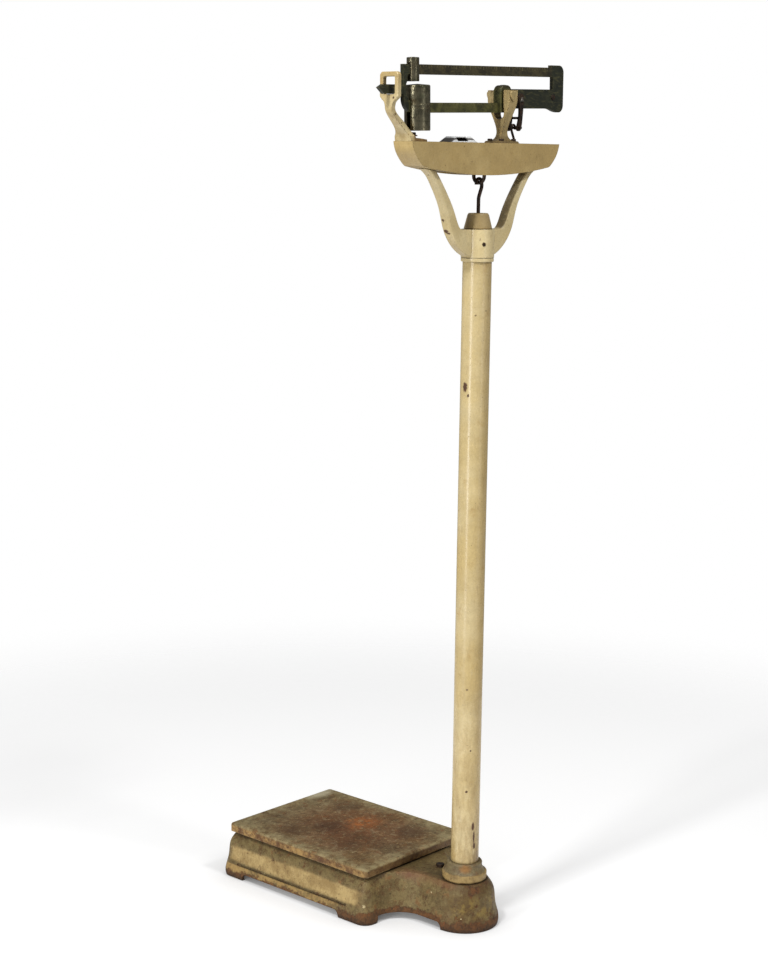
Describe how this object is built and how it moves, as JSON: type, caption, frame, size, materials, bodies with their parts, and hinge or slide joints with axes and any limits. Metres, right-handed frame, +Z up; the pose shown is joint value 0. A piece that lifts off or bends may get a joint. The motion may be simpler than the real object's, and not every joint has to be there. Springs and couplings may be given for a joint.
{
  "type": "beam platform scale",
  "caption": "Upright weighing scale: platform over levers in a cast base, pipe pillar, lyre yoke and shelf carrying a beam with sliding poises, pointer and trig loop.",
  "frame": {"origin": "on the floor under the pillar's axis, on the underside of the base's column foot", "axes": "+X along the weigh beam from pointer to butt, +Y from the pillar to the platform, +Z up; the reader stands at -Y"},
  "size_m": [0.4652, 0.5263, 1.4699],
  "materials": {
    "base_paint": "worn grey and cream paint over cast iron, rust at the edges",
    "socket_paint": "worn grey and cream paint",
    "pillar_paint": "aged cream paint, small chips",
    "cream_paint": "aged cream paint",
    "cone_paint": "aged cream paint, browner",
    "shelf_paint": "aged cream paint",
    "trig_paint": "aged cream paint, rusty foot",
    "stand_paint": "aged cream paint over iron",
    "plate_iron": "worn, mottled brown rust and grey",
    "lever_iron": "dull dark iron",
    "dark_iron": "dark brown iron",
    "rusty_iron": "rusty iron",
    "steel": "dull steel",
    "beam_bronze": "dark olive-green patina",
    "poise_metal": "dark worn metal with bright rubs",
    "cover_metal": "bright, scuffed"
  },
  "bodies": {
    "frame": {"base_casting": "base_paint", "deck_bolt": "dark_iron", "pillar_socket": "socket_paint", "lever_bearings": "steel", "pillar_tube": "pillar_paint", "pillar_collar": "cream_paint", "hub_set_screw": "dark_iron", "yoke_casting": "cream_paint", "yoke_screws": "dark_iron", "pillar_cap": "cone_paint", "beam_shelf": "shelf_paint", "trig_post": "trig_paint", "trig_washer": "rusty_iron", "trig_bolt": "dark_iron", "fulcrum_stand": "stand_paint", "stand_bolts": "dark_iron", "fulcrum_bearings": "steel", "bearing_caps": "stand_paint", "cap_lever_bracket": "lever_iron", "bracket_screws": "dark_iron", "shelf_cover": "cover_metal"},
    "beam": {"beam_casting": "beam_bronze", "pointer": "beam_bronze", "fulcrum_pivot": "steel", "load_pivot": "steel", "butt_rivet": "dark_iron"},
    "big_poise": {"big_poise": "poise_metal", "big_poise_tooth": "steel"},
    "small_poise": {"small_poise": "poise_metal", "small_poise_tooth": "steel"},
    "load_link": {"load_stirrup": "dark_iron", "stirrup_pin": "dark_iron", "link_hook": "dark_iron"},
    "cap_lever": {"cap_lever": "lever_iron", "cap_lever_pivots": "steel"},
    "steelyard": {"lever_loop": "dark_iron", "steelyard_rod": "dark_iron"},
    "long_lever": {"long_lever": "lever_iron", "long_lever_pivots": "steel"},
    "lever_link": {"lever_link": "dark_iron"},
    "short_lever": {"short_lever": "lever_iron", "short_lever_pivots": "steel"},
    "platform": {"platform_plate": "plate_iron", "platform_feet": "steel"}
  },
  "joints": [
    {"name": "beam_tilt", "type": "hinge", "parent": "frame", "child": "beam", "pos_m": [0.057, 0, 1.413], "axis": [0, 1, 0], "range_deg": [0, 2.35]},
    {"name": "big_poise_slide", "type": "slide", "parent": "beam", "child": "big_poise", "axis": [0.9997, 0, 0.0262], "range_m": [0, 0.176]},
    {"name": "small_poise_slide", "type": "slide", "parent": "beam", "child": "small_poise", "axis": [0.9997, 0, 0.0262], "range_m": [0, 0.338]},
    {"name": "link_hang", "type": "hinge", "parent": "beam", "child": "load_link", "pos_m": [0.09099, 0, 1.41389], "axis": [0, 1, 0], "range_deg": [-2.4, 0.05]},
    {"name": "cap_lever_tilt", "type": "hinge", "parent": "frame", "child": "cap_lever", "pos_m": [-0.025, 0, 1.316], "axis": [0, 1, 0], "range_deg": [-0.02, 0.7]},
    {"name": "rod_hang", "type": "hinge", "parent": "cap_lever", "child": "steelyard", "pos_m": [0, 0, 1.316], "axis": [0, 1, 0], "range_deg": [-0.7, 0.02]},
    {"name": "long_lever_tilt", "type": "hinge", "parent": "frame", "child": "long_lever", "pos_m": [0, 0.43, 0.044], "axis": [1, 0, 0], "range_deg": [-0.002, 0.042]},
    {"name": "lever_link_hang", "type": "hinge", "parent": "long_lever", "child": "lever_link", "pos_m": [0, 0.2825, 0.051], "axis": [1, 0, 0], "range_deg": [-0.042, 0.002]},
    {"name": "short_lever_tilt", "type": "hinge", "parent": "frame", "child": "short_lever", "pos_m": [0, 0.135, 0.022], "axis": [1, 0, 0], "range_deg": [-0.042, 0.002]},
    {"name": "platform_lift", "type": "slide", "parent": "frame", "child": "platform", "axis": [0, 0, 1], "range_m": [0, 0.12]}
  ],
  "couplings": [
    {"joint": "link_hang", "follows": "beam_tilt", "ratio": -1},
    {"joint": "cap_lever_tilt", "follows": "beam_tilt", "ratio": 0.2931},
    {"joint": "rod_hang", "follows": "beam_tilt", "ratio": -0.2931},
    {"joint": "long_lever_tilt", "follows": "beam_tilt", "ratio": 0.017041},
    {"joint": "lever_link_hang", "follows": "beam_tilt", "ratio": -0.017041},
    {"joint": "short_lever_tilt", "follows": "beam_tilt", "ratio": -0.017041}
  ]
}
